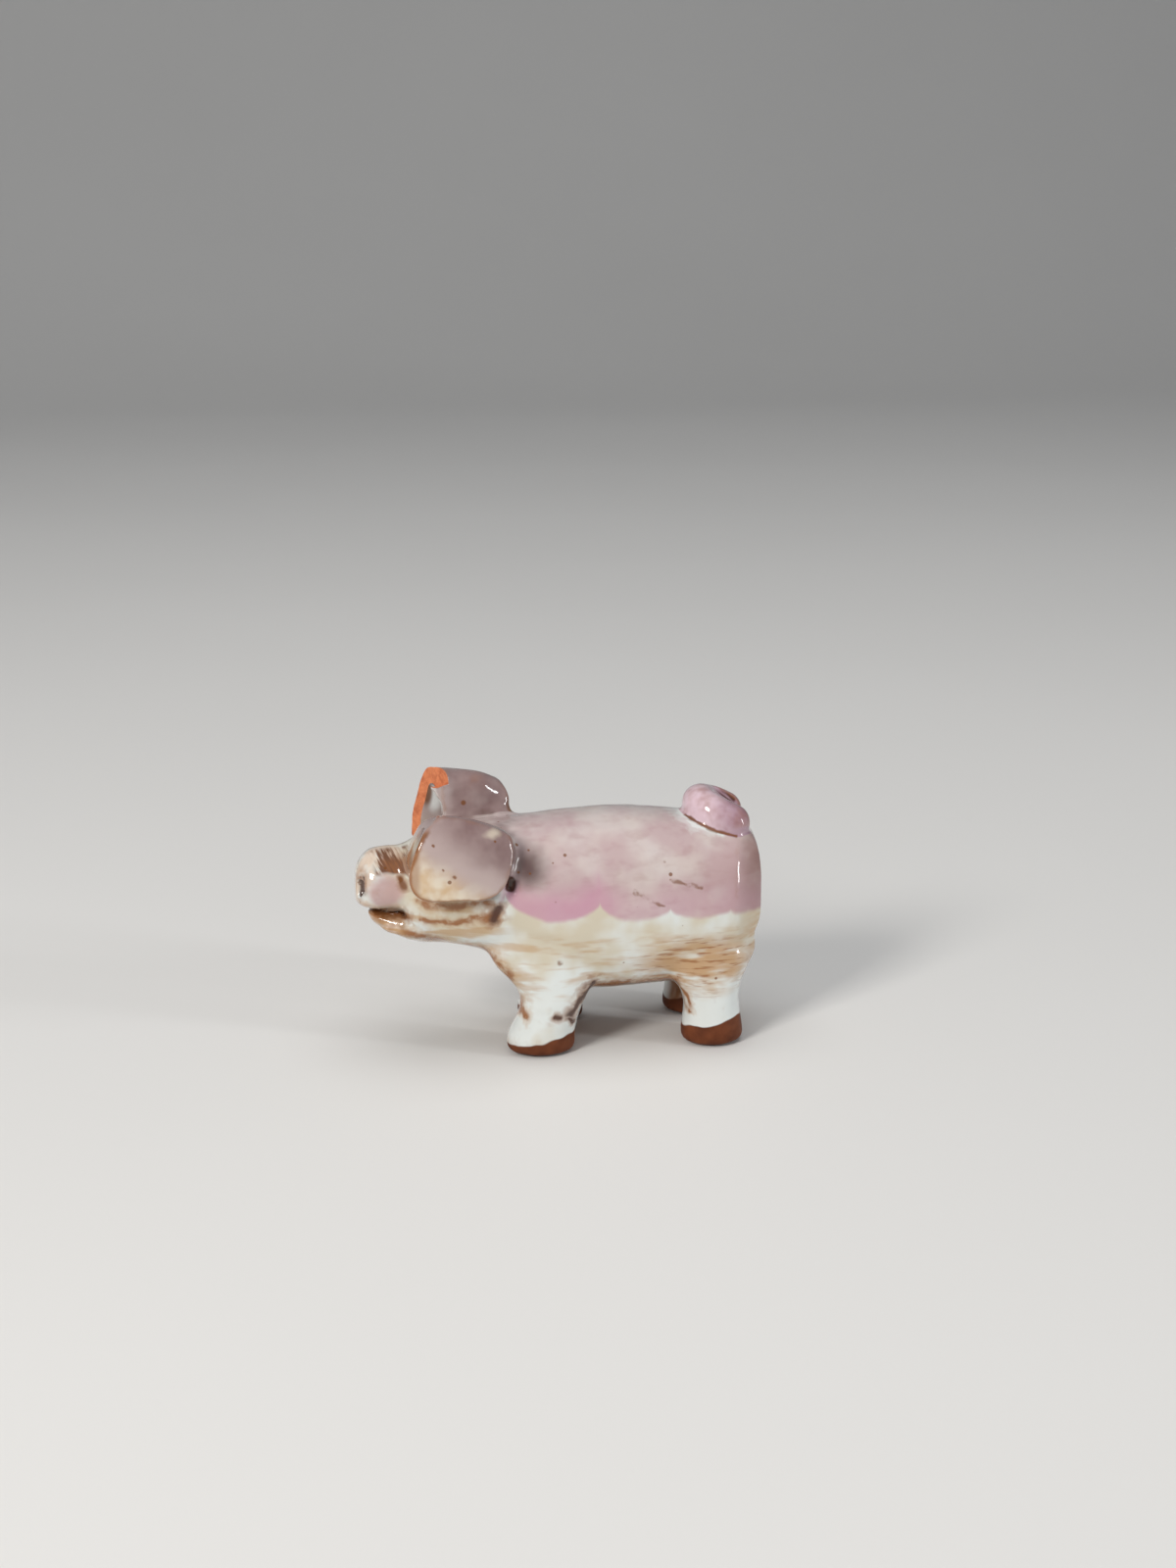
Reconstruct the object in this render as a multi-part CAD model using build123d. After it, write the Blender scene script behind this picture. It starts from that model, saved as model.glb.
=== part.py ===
from build123d import *
import os
from math import copysign, cos, pi, sin

# Hand-built clay pig. Millimetres; the nose points to -X, the animal's left side to -Y, feet at z = 0.
# Lengths along the body are measured from the joint between torso and head.

# Torso: a fat lump, narrower at the neck, nearly flat at the rump
TORSO_LENGTH = 39.0
TORSO_WIDTH = 24.6
BACK_HEIGHT = 37.2
BELLY_HEIGHT = 8.0
CHEST_BACK = 5.5
CHEST_WIDTH = 23.4
CHEST_LOW = 9.4
MIDDLE_BACK = 15.0
HIP_BACK = 28.5
HIP_WIDTH = 24.4
HIP_TOP = 35.9
HIP_LOW = 9.4
RUMP_WIDTH = 21.6
RUMP_TOP = 35.2
RUMP_LOW = 17.2
RUMP_ROUNDING = 3.8
SQUARE = 2.4

# Head: from the neck to the flat face that carries the snout, with the lower jaw drawn out below
NECK_WIDTH = 21.4
NECK_TOP = 36.2
NECK_LOW = 13.8
HEAD_LENGTH = 17.0
CHEEK_AHEAD = 9.0
CHEEK_WIDTH = 18.4
CHEEK_TOP = 35.4
CHEEK_LOW = 16.3
FACE_WIDTH = 12.4
FACE_TOP = 33.0
FACE_LOW = 17.7
JAW_LENGTH = 6.6
JAW_WIDTH = 11.2
JAW_TIP_THICKNESS = 2.1
MOUTH_CORNER_HEIGHT = 22.0
MOUTH_GAPE = 0.8

# Snout: a rounded plug with two nostrils
SNOUT_LENGTH = 7.8
SNOUT_WIDTH = 11.4
SNOUT_TOP = 32.7
SNOUT_TIP_WIDTH = 10.4
SNOUT_TIP_TOP = 31.6
SNOUT_ROUNDING = 3.7
NOSTRIL_SPACING = 4.8
NOSTRIL_WIDTH = 1.2
NOSTRIL_HEIGHT = 2.8
NOSTRIL_DEPTH = 1.6
NOSTRIL_ABOVE_MOUTH = 4.6

# Ears: slabs folded over like a saddle; seen from the side each is deeper in front than behind
EAR_LENGTH = 15.4
EAR_FRONT_HEIGHT = 16.3
EAR_REAR_HEIGHT = 11.2
EAR_CORNER = 5.0
EAR_AHEAD = 6.4
EAR_CREST_RISE = 3.3
EAR_TILT = 21.0
EAR_FOLD_OUT = 8.4
EAR_FOLD_WIDTH = 9.6
EAR_DOME_LENGTH = 33.0
EAR_DOME_HEIGHT = 21.6
EAR_CREST_THICKNESS = 3.6
EAR_FLAP_THICKNESS = 2.2
EAR_HOLLOW_LENGTH = 20.0
EAR_HOLLOW_WIDTH = 3.8
EAR_HOLLOW_HEIGHT = 15.6
EAR_BACK_WALL = 1.6
RIGHT_EAR_LIFT = 2.8
RIGHT_EAR_BACK = 0.76
RIGHT_EAR_TILT = 12.0
RIGHT_WALL_AHEAD = 4.7
BREAK_AHEAD = 5.0
BREAK_HEADING = 26.0
BREAK_LEAN = 5.0

# Legs: feet on the floor, spreading upwards into the body
FOOT_SPACING = 14.4
FOOT_WIDTH = 9.4
FRONT_FOOT_LENGTH = 10.6
FRONT_FOOT_BACK = 3.9
FRONT_RIGHT_STEP = 3.9
REAR_FOOT_LENGTH = 9.7
REAR_FOOT_BACK = 31.1
FOOT_ROUNDING = 1.3
FOOT_HEIGHT = 4.2
ANKLE_HEIGHT = 8.2
ANKLE_SHIFT = 1.4
THIGH_HEIGHT = 13.0
THIGH_WIDTH = 10.6
THIGH_SPACING = 12.8
FRONT_THIGH_LENGTH = 16.2
FRONT_THIGH_BACK = 5.2
REAR_THIGH_LENGTH = 15.6
REAR_THIGH_BACK = 29.8
LEG_TOP = 18.6
LEG_TOP_SPACING = 11.0

# Tail: a roll bent into a hairpin and pressed on the rump
TAIL_THICKNESS = 6.4
TAIL_ROOT_LENGTH = 0.4
TAIL_TIP_LENGTH = 2.4
TAIL_ROW_SPACING = 6.8
TAIL_BACK = 33.6
TAIL_RISE = 0.35
TAIL_SLOPE = 25.0
TAIL_ROLL = -6.0
TAIL_TURN = -20.0

RING_POINTS = 16
ROUND = 2.0
NECK_X = -7.0


def ring(x, width, low, high, squareness=SQUARE):
    """Upright cross-section at x: a superellipse of the given width between two heights."""
    points = []
    for step in range(RING_POINTS):
        angle = 2 * pi * step / RING_POINTS
        across = copysign(abs(cos(angle)) ** (2 / squareness), cos(angle))
        up = copysign(abs(sin(angle)) ** (2 / squareness), sin(angle))
        points.append((x, width / 2 * across, (high + low) / 2 + (high - low) / 2 * up))
    return make_face(Spline(*points, periodic=True))


def round_end(solid, x, radius):
    """Rounds the edge of the flat end at x."""
    flat_ends = solid.faces().filter_by(Plane.YZ)
    end = flat_ends.sort_by(lambda face: abs(face.center().X - x))[0]
    return fillet(end.edges(), radius)


def make_torso():
    """Loft from the neck to the rounded rump."""
    body = loft([
        ring(NECK_X, NECK_WIDTH, NECK_LOW, NECK_TOP),
        ring(NECK_X + CHEST_BACK, CHEST_WIDTH, CHEST_LOW, (NECK_TOP + BACK_HEIGHT) / 2),
        ring(NECK_X + MIDDLE_BACK, TORSO_WIDTH, BELLY_HEIGHT, BACK_HEIGHT),
        ring(NECK_X + HIP_BACK, HIP_WIDTH, HIP_LOW, HIP_TOP),
        ring(NECK_X + TORSO_LENGTH, RUMP_WIDTH, RUMP_LOW, RUMP_TOP),
    ])
    return round_end(body, NECK_X + TORSO_LENGTH, RUMP_ROUNDING)


def make_jaw(face_x):
    """Lower lip: a tapering tongue, cut to a round lip seen from above."""
    root_x = face_x + JAW_LENGTH / 2
    tip_x = face_x - JAW_LENGTH
    lip_top = MOUTH_CORNER_HEIGHT - MOUTH_GAPE / 2
    tongue = loft([
        ring(root_x, JAW_WIDTH, FACE_LOW, MOUTH_CORNER_HEIGHT),
        ring(face_x, JAW_WIDTH, FACE_LOW, MOUTH_CORNER_HEIGHT),
        ring(tip_x, JAW_WIDTH, lip_top - JAW_TIP_THICKNESS, lip_top),
    ], ruled=True)
    plan = Curve() + [
        Line((root_x, JAW_WIDTH / 2), (face_x, JAW_WIDTH / 2)),
        ThreePointArc((face_x, JAW_WIDTH / 2), (tip_x, 0), (face_x, -JAW_WIDTH / 2)),
        Line((face_x, -JAW_WIDTH / 2), (root_x, -JAW_WIDTH / 2)),
        Line((root_x, -JAW_WIDTH / 2), (root_x, JAW_WIDTH / 2)),
    ]
    return tongue & extrude(make_face(plan), NECK_TOP)


def make_head():
    """Loft from the neck to the face, with the lower jaw as a thin lip below the snout."""
    face_x = NECK_X - HEAD_LENGTH
    skull = loft([
        ring(NECK_X, NECK_WIDTH, NECK_LOW, NECK_TOP),
        ring(NECK_X - CHEEK_AHEAD, CHEEK_WIDTH, CHEEK_LOW, CHEEK_TOP),
        ring(face_x, FACE_WIDTH, FACE_LOW, FACE_TOP),
    ])
    return skull + make_jaw(face_x)


def make_snout():
    """Rounded plug on the face, rising from the corner of the mouth towards its tip."""
    face_x = NECK_X - HEAD_LENGTH
    tip_x = face_x - SNOUT_LENGTH
    tip_low = MOUTH_CORNER_HEIGHT + MOUTH_GAPE / 2
    plug = loft([
        ring(face_x, SNOUT_WIDTH, MOUTH_CORNER_HEIGHT, SNOUT_TOP, ROUND),
        ring(tip_x, SNOUT_TIP_WIDTH, tip_low, SNOUT_TIP_TOP, ROUND),
    ])
    plug = round_end(plug, tip_x, SNOUT_ROUNDING)
    for side in (-1, 1):
        centre = (tip_x, side * NOSTRIL_SPACING / 2, MOUTH_CORNER_HEIGHT + NOSTRIL_ABOVE_MOUTH)
        outline = Plane(origin=centre, x_dir=(0, 1, 0), z_dir=(1, 0, 0)) * Ellipse(
            NOSTRIL_WIDTH / 2, NOSTRIL_HEIGHT / 2)
        plug -= extrude(outline, NOSTRIL_DEPTH)
    return plug


def ear_slab():
    """Left ear under the middle of its crest: a dome hollowed from the front, cut to its outline."""
    dome = scale(Sphere(1), (EAR_DOME_LENGTH / 2, EAR_FOLD_WIDTH / 2, EAR_DOME_HEIGHT / 2))
    hollow = scale(Sphere(1), (EAR_HOLLOW_LENGTH / 2, EAR_HOLLOW_WIDTH / 2, EAR_HOLLOW_HEIGHT / 2))
    half_length = EAR_LENGTH / 2
    hollow_back = half_length - EAR_BACK_WALL - EAR_HOLLOW_LENGTH / 2
    hollow_out = (EAR_FOLD_WIDTH - EAR_HOLLOW_WIDTH) / 2 - EAR_FLAP_THICKNESS
    slab = Pos(0, 0, -EAR_DOME_HEIGHT / 2) * dome
    slab -= Pos(hollow_back, -hollow_out, -EAR_CREST_THICKNESS - EAR_HOLLOW_HEIGHT / 2) * hollow
    outline = make_face(Polyline(
        (-half_length, 0),
        (-half_length, -EAR_FRONT_HEIGHT),
        (half_length, -EAR_REAR_HEIGHT),
        (half_length, 0),
        close=True,
    ))
    outline = fillet(outline.vertices(), EAR_CORNER)
    return slab & extrude(Plane.XZ * outline, EAR_FOLD_WIDTH, both=True)


def make_left_ear():
    """The slab tilted forward over the left side of the head."""
    place = Pos(NECK_X - EAR_AHEAD, -EAR_FOLD_OUT, NECK_TOP + EAR_CREST_RISE)
    return place * Rot(0, EAR_TILT, 0) * ear_slab()


def make_right_ear():
    """The same slab mirrored and set higher. Its crest and outer flap are broken off along a slanting
    fracture; its inner wall ends farther forward, below the broken crest."""
    slab = Rot(0, RIGHT_EAR_TILT, 0) * mirror(ear_slab(), Plane.XZ)
    size = 3 * EAR_LENGTH
    cube = Box(size, size, size)
    fracture = Pos(-BREAK_AHEAD, 0, 0) * Rot(0, BREAK_LEAN, BREAK_HEADING)
    ahead_of_break = fracture * Pos(-size / 2, 0, 0) * cube
    ahead_of_wall = Pos(-RIGHT_WALL_AHEAD - size / 2, 0, 0) * cube
    inner_wall = Pos(0, -size / 2, -EAR_CREST_THICKNESS - size / 2) * cube
    slab = (slab - inner_wall - ahead_of_break) + (slab & inner_wall) - (ahead_of_wall & inner_wall)
    crest_height = NECK_TOP + EAR_CREST_RISE + RIGHT_EAR_LIFT
    return Pos(NECK_X - EAR_AHEAD + RIGHT_EAR_BACK, EAR_FOLD_OUT, crest_height) * slab


def leg_level(z, back, length, spacing, width, side):
    """Flat elliptic cross-section of a leg at height z."""
    return Pos(NECK_X + back, side * spacing / 2, z) * Ellipse(length / 2, width / 2)


def make_leg(foot_back, foot_length, ankle_back, thigh_back, thigh_length, side):
    """Loft from the flat foot pad up into the body."""
    leg = loft([
        leg_level(0, foot_back, foot_length, FOOT_SPACING, FOOT_WIDTH, side),
        leg_level(FOOT_HEIGHT, foot_back, foot_length, FOOT_SPACING, FOOT_WIDTH, side),
        leg_level(ANKLE_HEIGHT, ankle_back, foot_length, FOOT_SPACING, FOOT_WIDTH, side),
        leg_level(THIGH_HEIGHT, thigh_back, thigh_length, THIGH_SPACING, THIGH_WIDTH, side),
        leg_level(LEG_TOP, thigh_back, thigh_length, LEG_TOP_SPACING, THIGH_WIDTH, side),
    ])
    pad = leg.faces().filter_by(Plane.XY).sort_by(Axis.Z)[0]
    return fillet(pad.edges(), FOOT_ROUNDING)


def make_tail():
    """Hairpin of round section, its plane leaning back over the rump."""
    radius = TAIL_THICKNESS / 2
    half_row = TAIL_ROW_SPACING / 2
    root = (TAIL_ROOT_LENGTH, half_row)
    tip = (TAIL_TIP_LENGTH, -half_row)
    path = Curve() + [
        Line(root, (0, half_row)),
        ThreePointArc((0, half_row), (-half_row, 0), (0, -half_row)),
        Line((0, -half_row), tip),
    ]
    roll = sweep(Plane(origin=path @ 0, z_dir=path % 0) * Circle(radius), path)
    for end in (root, tip):
        roll += Pos(*end) * Sphere(radius)
    place = Pos(NECK_X + TAIL_BACK, 0, RUMP_TOP + TAIL_RISE)
    return place * Rot(0, 0, TAIL_TURN) * Rot(0, TAIL_SLOPE, 0) * Rot(TAIL_ROLL, 0, 0) * roll


torso = make_torso()
head = make_head()
snout = make_snout() - head

left_ear = make_left_ear() - head - snout - torso
right_ear = make_right_ear() - head - snout - torso

legs = {}
for side_name, side in (("left", -1), ("right", 1)):
    step = FRONT_RIGHT_STEP if side > 0 else 0
    front = make_leg(FRONT_FOOT_BACK + step, FRONT_FOOT_LENGTH, FRONT_FOOT_BACK + ANKLE_SHIFT + step,
                     FRONT_THIGH_BACK + step / 2, FRONT_THIGH_LENGTH, side)
    rear = make_leg(REAR_FOOT_BACK, REAR_FOOT_LENGTH, REAR_FOOT_BACK - ANKLE_SHIFT / 4,
                    REAR_THIGH_BACK, REAR_THIGH_LENGTH, side)
    legs[f"front_{side_name}_leg"] = front - torso - head
    legs[f"rear_{side_name}_leg"] = rear - torso

pieces = {
    "torso": torso,
    "head": head,
    "snout": snout,
    "left_ear": left_ear,
    "right_ear": right_ear,
    **legs,
    "tail": make_tail() - torso,
}

# The origin goes to the middle of the footprint, on the floor
box = Compound(list(pieces.values())).bounding_box()
centred = Pos(-box.center().X, -box.center().Y, 0)

os.makedirs("parts", exist_ok=True)
for name, piece in pieces.items():
    export_step(centred * piece, f"parts/{name}.step")
print("moved by", -box.center().X, -box.center().Y)
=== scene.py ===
import math

import bmesh
import bpy
import numpy as np
from mathutils import Euler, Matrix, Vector
from mathutils.bvhtree import BVHTree
from mathutils.kdtree import KDTree


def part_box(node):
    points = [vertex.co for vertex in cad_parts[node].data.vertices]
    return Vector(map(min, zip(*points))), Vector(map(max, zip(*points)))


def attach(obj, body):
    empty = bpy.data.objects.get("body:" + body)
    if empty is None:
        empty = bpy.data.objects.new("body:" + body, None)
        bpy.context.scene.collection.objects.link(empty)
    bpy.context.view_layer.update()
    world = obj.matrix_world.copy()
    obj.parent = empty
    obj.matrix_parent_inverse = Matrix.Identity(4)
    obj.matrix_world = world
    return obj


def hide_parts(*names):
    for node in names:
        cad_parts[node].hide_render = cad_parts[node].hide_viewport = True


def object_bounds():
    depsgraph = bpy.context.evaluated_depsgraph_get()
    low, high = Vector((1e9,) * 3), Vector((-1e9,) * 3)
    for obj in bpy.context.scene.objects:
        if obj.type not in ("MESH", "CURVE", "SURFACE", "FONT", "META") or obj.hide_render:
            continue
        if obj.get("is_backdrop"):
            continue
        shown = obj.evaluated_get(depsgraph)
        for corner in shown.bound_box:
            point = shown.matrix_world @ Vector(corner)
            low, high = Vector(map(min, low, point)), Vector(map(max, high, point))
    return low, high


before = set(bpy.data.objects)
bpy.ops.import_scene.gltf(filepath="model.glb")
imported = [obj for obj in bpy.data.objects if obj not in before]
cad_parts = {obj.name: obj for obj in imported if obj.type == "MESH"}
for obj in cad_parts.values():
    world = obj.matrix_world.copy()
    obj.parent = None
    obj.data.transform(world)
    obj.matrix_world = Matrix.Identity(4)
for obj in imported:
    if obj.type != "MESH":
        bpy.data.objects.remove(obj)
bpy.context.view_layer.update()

MM = 0.001

NODES = ("torso", "head", "snout", "left_ear", "right_ear", "front_left_leg", "front_right_leg",
         "rear_left_leg", "rear_right_leg", "tail")
LEGS = tuple(node for node in NODES if node.endswith("leg"))
SLOT = {"torso": "body_glaze", **dict.fromkeys(("left_ear", "right_ear", "tail"), "mauve_glaze")}

# The photograph's view, for an image of 1200 by 1600 pixels
VIEW_AZIMUTH = math.radians(-9.0)
VIEW_ELEVATION = math.radians(18.0)
VIEW_DISTANCE = 375 * MM
VIEW_POINT = Vector((-0.10, 0.0, 20.0)) * MM
CAMERA_TURN = math.radians(9.84)
CAMERA_DOWN = math.radians(14.85)
CAMERA_LENS = 54.0
CAMERA_SENSOR = 36.0
CAMERA_CLIP = 0.01

# Floor and lights, in metres. A light has a place, a size, a power, a tint, and glints or not
FLOOR_SIZE = 3.0
FLOOR_SHIFT = 0.2
FLOOR_BACK = 1.0
FLOOR_FLAT = 0.01
SWEEP_HEIGHT = 1.6
SWEEP_ROUND = 0.7
SWEEP_STEPS = 16
LIGHTS = {
    "overhead": ((0.0, 0.0, 0.85), (0.7, 0.7), 3.0, (1.0, 1.0, 1.0), False),
    "window": ((-0.58, -0.55, 0.50), (0.22, 0.28), 5.6, (1.0, 0.97, 0.93), True),
    "side_window": ((0.80, -0.42, 0.18), (0.07, 0.50), 3.0, (0.95, 0.98, 1.0), True),
}
ROOM_TINT = (0.92, 0.95, 1.0, 1.0)
ROOM_STRENGTH = 0.22

# Clay: grain of the working mesh, and how often it is rubbed smooth. A joint is rubbed as far as its
# reach in millimetres, and so many times
GRAIN = 0.25 * MM
MERGE_GAP = 0.002 * MM
RUB_STEP = 0.5
PRESS_LEAST = 0.01
RUBBED = 14
RELIEF_RUBBED = 40
LAST_RUBBED = 3
LAST_SWELL = 0.5
REACH_LIMIT = 3.5 * MM
JOINT_PRESS = 1.6
JOINTS = {
    ("torso", "head"): (3.0, 60),
    ("head", "snout"): (2.4, 90),
    ("torso", "front_left_leg"): (2.6, 70),
    ("torso", "front_right_leg"): (2.6, 70),
    ("torso", "rear_left_leg"): (1.8, 40),
    ("torso", "rear_right_leg"): (1.8, 40),
    ("head", "front_left_leg"): (2.6, 70),
    ("head", "front_right_leg"): (2.6, 70),
    ("head", "left_ear"): (1.2, 30),
    ("head", "right_ear"): (2.2, 60),
    ("torso", "left_ear"): (0.7, 8),
    ("torso", "right_ear"): (2.2, 60),
}
LUMPS = ((9 * MM, 0.35 * MM), (4 * MM, 0.16 * MM))
LUMP_LEVEL = 0.9
SMOOTH_ANGLE = math.radians(40)

# Cuts along the joints
SEAM_GROWTH = 0.4 * MM
SNOUT_SEAM = 0.4 * MM
MOUTH_SEAM = 22.45 * MM
CREST_LEVEL = {"left_ear": 36.4 * MM, "right_ear": 38.2 * MM}
CREST_ROOM = Vector((3, 3, 3)) * MM
CUT_ROOM = Vector((5, 5, 5)) * MM

# The right ear's broken edge
BREAK_FORWARD = (-0.98, 0.0, 0.2)
BREAK_SPARE = 1.2 * MM
BREAK_FACING = (-0.5, -0.3)
BREAK_FLAT = 0.01 * MM
BREAK_BEND = 10.4 * MM
BREAK_TURN = 0.33
BREAK_GRAIN = 2.4 * MM
BREAK_GRIT = 0.3 * MM
BREAK_TOOL_SIDE = 30 * MM
BREAK_TOOL_STEPS = 120
BREAK_TOOL_DEPTH = 14 * MM
BREAK_OVAL = Vector((-18.0, 8.6, 41.6)) * MM
BREAK_OVAL_SCALE = (4.4 * MM, 2.1 * MM, 60 * MM)
BREAK_OVAL_STEPS = 96
FOLD_OUT = 9.0 * MM
FOLD_ROOM = Vector((30, 30, 30)) * MM
FOLD_ABOVE = 5 * MM

# Shaping, in millimetres. A pair is where along an axis a change starts and where it is full
MOUTH_LEVEL = 22.15
JAW_GROWS = (-22.6, -25.6)
JAW_TAPERS = (-22.6, -27.6)
JAW_HEIGHT = (19.5, MOUTH_LEVEL)
JAW_LIFT = 0.75
JAW_FRONT_LIFT = 0.6
CHIN_LIFT = 0.35
JAW_FORWARD = 0.7
JAW_NARROWED = 0.28
CHIN_BACK = 1.7
CHIN_RUBBED = 14
MOUTH_CORNER = (-24.4, 5.6, 21.8)
MOUTH_CORNER_REACH = 1.8
MOUTH_CORNER_RUBBED = 40
MOUTH_CORNER_PRESS = 1.5
LIP_FRONT = (-27.0, -30.0)
LIP_LEVEL = 23.4
LIP_SPREAD = 1.6
LIP_FORWARD = 0.6
RUMP_RIDGE = 26.8
RUMP_BEVEL = 0.8
RUMP_PRESS = 0.85
RUMP_SOFT = 0.3
RUMP_LEVELS = (15.0, 35.0)
RUMP_RING = 0.5
RUMP_SLICE = 0.8
RUMP_FOOT = (14.0, 18.0)
RUMP_TOP = (34.0, 32.5)
RUMP_FRONT = (24.0, 26.0)
EAR_ROOT = 35.0
EAR_LOWERED = 0.22
EAR_ACROSS = (-3.5, -4.5)
EAR_AHEAD = (-5.0, -7.0)
NOSTRIL = (-31.4, 3.3, 27.4)
NOSTRIL_HEIGHT = 1.9
NOSTRIL_WIDTH = 1.6
NOSTRIL_DEPTH = 0.9

# A pull has a centre, a reach and a shift; a tool mark has a path, a width and a depth
PULLS = {
    "throat": ((-21.5, 0.0, 17.8), 5.5, (0.0, 0.0, -0.8)),
    "right_flap": ((-18.8, 12.3, 40.9), 3.8, (0.0, 0.0, 1.2)),
    "right_crest_front": ((-17.0, 5.9, 41.2), 3.6, (0.0, -0.8, 0.9)),
    "right_crest_back": ((-11.5, 5.9, 40.6), 4.6, (0.0, -0.8, 0.6)),
    "snout_top": ((-28.2, 0.0, 32.2), 4.6, (0.0, 0.0, 0.45)),
}
LEFT_LOBE = ((-22.8, -12.0, 28.8), 5.0, (-0.6, 0.0, -0.5))
LEFT_CREST = (((-19.6, -9.4, 39.4), (-14.8, -9.6, 38.3), (-8.8, -9.8, 35.6)), 1.8, -0.3)
TOOL_MARKS = {
    "tail_slot": (((26.7, 2.3, 39.0), (28.1, 1.7, 38.0), (29.4, 1.1, 36.9)), 1.1, 0.7),
    "ear_pit": (((-8.6, -10.5, 27.7), (-8.3, -10.4, 28.9)), 1.4, 1.0),
    "ankle_crease": (((-6.4, -10.8, 7.6), (-3.0, -11.9, 7.0), (1.2, -11.0, 6.4)), 1.2, 0.18),
}

# Glaze colours
CREAM = (0.60, 0.54, 0.42)
WHITE = (0.70, 0.73, 0.71)
MAUVE_PALE = (0.60, 0.51, 0.49)
MAUVE = (0.52, 0.39, 0.39)
MAUVE_WARM = (0.40, 0.24, 0.24)
# Purple-brown on the rump's rear face: mostly painted shade, partly the wash's own darker tone
RUMP_PAINTED_SHADE = (0.24, 0.12, 0.10)
PINK = (0.53, 0.27, 0.36)
TAN = (0.46, 0.25, 0.09)
TAN_PALE = (0.60, 0.42, 0.25)
TAN_DEEP = (0.18, 0.06, 0.013)
ORANGE_BROWN = (0.28, 0.105, 0.028)
DARK_BROWN = (0.06, 0.014, 0.003)
PATCH_BROWN = (0.22, 0.065, 0.008)
# Near black, for painted shade in the pit behind the left ear
SHADE_BLACK = (0.012, 0.005, 0.004)
GREY_BROWN = (0.085, 0.042, 0.04)
BARE_DARK = (0.045, 0.012, 0.006)
BARE_CLAY = (0.22, 0.066, 0.026)
SNOUT_CREAM = (0.70, 0.55, 0.43)
ROSE = (0.55, 0.36, 0.35)
EAR_CREAM = (0.72, 0.63, 0.50)
EAR_MAUVE = (0.46, 0.36, 0.34)
EAR_GREY = (0.22, 0.14, 0.135)
# White glaze brightened as painted light, for inside the right ear
EAR_LIT_WHITE = (0.84, 0.86, 0.85)
TAIL_PALE = (0.70, 0.53, 0.59)
TAIL_PINK = (0.48, 0.30, 0.31)
TAIL_PURPLE = (0.27, 0.14, 0.18)
BREAK_DEEP = (0.48, 0.13, 0.05)
BREAK_ORANGE = (0.72, 0.24, 0.10)
PAPER = (0.74, 0.73, 0.71)
PAPER_PALE = (0.78, 0.77, 0.75)

# Brushwork, in millimetres. A pair is a fade: where along an axis it starts and where it is full
WANDER_SIZE = 3.5
WANDER_REACH = 1.7
SCALLOP_FIRST = -9.3
SCALLOP_PITCH = 16.75
SCALLOP_CLOSER = 0.0123
SCALLOP_ROUND = 0.55
SCALLOP_LOW = 22.5
SCALLOP_DROP = 0.02
SCALLOP_RISE = 4.4
SCALLOP_FLATTER = 0.1
SCALLOP_EDGE = (-0.45, 0.5)
WASH_FRONT = (-11.0, -8.5)
WASH_WARMS = (15.0, 29.0)
WASH_COOLS = (36.0, 25.0)
SHADE_FADE_ON_RUMP = (26.6, 31.0)
PINK_FIRST = (11.0, 3.0)
PINK_EDGE = (7.0, 1.5)
FLANK_TOP = (21.0, 18.0)
FLANK_FOOT = (8.0, 11.0)
BELLY_LOW = (13.0, 9.6)
BELLY_ACROSS = (6.0, 2.5)
# Painted shade on the inner sides of the legs: how low and how near the middle
INNER_LEG_SHADE_LOW = (15.0, 11.5)
INNER_LEG_SHADE_ACROSS = (6.6, 4.2)
FRONT_FOOT_X = -3.5
REAR_FOOT_X = 24.0
BETWEEN_FEET = (9.0, 11.0)
BARE_FRONT_LINE = 2.7
BARE_REAR_LINE = 3.9
BARE_RISE = 0.17
BARE_WAVE = 2.2
BARE_EDGE = (0.16, -0.12)
WHITE_THICKER = (17.0, 8.0)
CROWN_RISE = (32.8, 34.4)
CROWN_FRONT = (-22.0, -20.0)
CROWN_BACK = (-4.5, -8.5)
CRACK_SIDE = (-1.5, -2.5)
NEAR_SIDE = (-2.0, -4.0)
SNOUT_FADE = (-23.4, -25.9)
SNOUT_EDGE = (-23.0, -24.0)
PATCH_FRONT = (-28.6, -27.0)
PATCH_LOW = (28.95, 29.55)
PATCH_TOP = (30.9, 32.5)
PATCH_ACROSS = (0.2, 1.4)
EAR_FADE = -19.5
EAR_SLANT = 0.7
EAR_TO_MAUVE = (-4.5, 1.5)
EAR_TO_GREY = (1.0, 7.0)
EAR_EDGE_THIN = (4.0, -3.0)
EAR_ROOT_LOW = (36.5, 34.0)
EAR_ROOT_ACROSS = (9.0, 7.5)
EAR_OUTSIDE = (-10.6, -11.6)
TAIL_TIP = (22.8, 28.0)
TAIL_SLOT_SHADE_FROM = (0.4, 1.0)
TAIL_SLOT_SHADE_TO = (3.0, 2.2)

# A spot has its centre and its half widths. Those on both sides of the snout have theirs without signs
HAUNCH = ((21.0, -10.5, 14.0), (9.5, 7.0, 4.5))
RUMP = ((31.0, -3.0, 16.5), (4.5, 9.0, 6.5))
TAIL_FOOT = ((22.5, -3.0, 34.5), (7.0, 8.0, 4.0))
CHEEK = ((-19.0, -8.5, 21.0), (9.0, 8.0, 5.5))
NECK_DARK_PATCH = ((-5.8, -9.9, 30.8), (2.4, 6.0, 2.7))
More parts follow.
